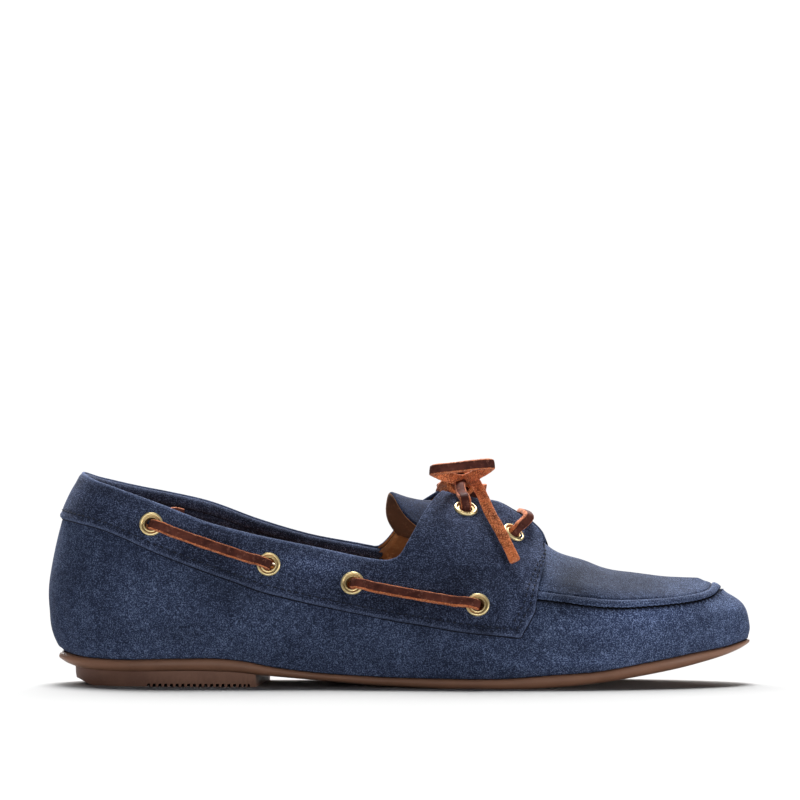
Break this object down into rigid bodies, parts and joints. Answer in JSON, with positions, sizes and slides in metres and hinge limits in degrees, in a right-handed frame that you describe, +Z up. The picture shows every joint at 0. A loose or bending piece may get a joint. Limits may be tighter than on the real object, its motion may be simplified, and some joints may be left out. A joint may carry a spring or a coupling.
{
  "type": "loafer",
  "caption": "Right-foot suede moccasin loafer with a raised apron seam, instep flaps, a leather lace through ringed eyelets tied in a bow, and a thin sole with a low heel.",
  "frame": {"origin": "on the ground, in the middle of the shoe's length and width without the bow", "axes": "+X toward the toe, +Y toward the medial side of a right foot, +Z up"},
  "size_m": [0.2562, 0.0924, 0.0832],
  "materials": {
    "suede": "napped navy suede",
    "saddle_suede": "napped navy suede, cut edges",
    "tongue_leather": "navy suede over a brown leather lining",
    "insole_leather": "smooth tan leather",
    "sole_rubber": "smooth matt brown rubber",
    "heel_rubber": "matt dark brown rubber",
    "eyelet_brass": "polished gold-coloured metal",
    "lace_leather": "dark red-brown grain side, orange flesh side and edges"
  },
  "bodies": {
    "root": {"upper": "suede", "saddle": "saddle_suede", "tongue": "tongue_leather", "insole": "insole_leather", "outsole": "sole_rubber", "heel": "heel_rubber", "eyelet_lateral_e1": "eyelet_brass", "eyelet_lateral_e2": "eyelet_brass", "eyelet_lateral_e3": "eyelet_brass", "eyelet_lateral_e4": "eyelet_brass", "eyelet_lateral_a": "eyelet_brass", "eyelet_lateral_b": "eyelet_brass", "eyelet_medial_e1": "eyelet_brass", "eyelet_medial_e2": "eyelet_brass", "eyelet_medial_e3": "eyelet_brass", "eyelet_medial_e4": "eyelet_brass", "eyelet_medial_a": "eyelet_brass", "eyelet_medial_b": "eyelet_brass", "lace_lateral_rear": "lace_leather", "lace_lateral_front": "lace_leather", "lace_medial_rear": "lace_leather", "lace_medial_front": "lace_leather", "lace_front": "lace_leather", "lace_end_lateral": "lace_leather", "lace_end_medial": "lace_leather", "lace_loop_lateral": "lace_leather", "lace_loop_medial": "lace_leather", "lace_knot": "lace_leather"}
  },
  "joints": []
}
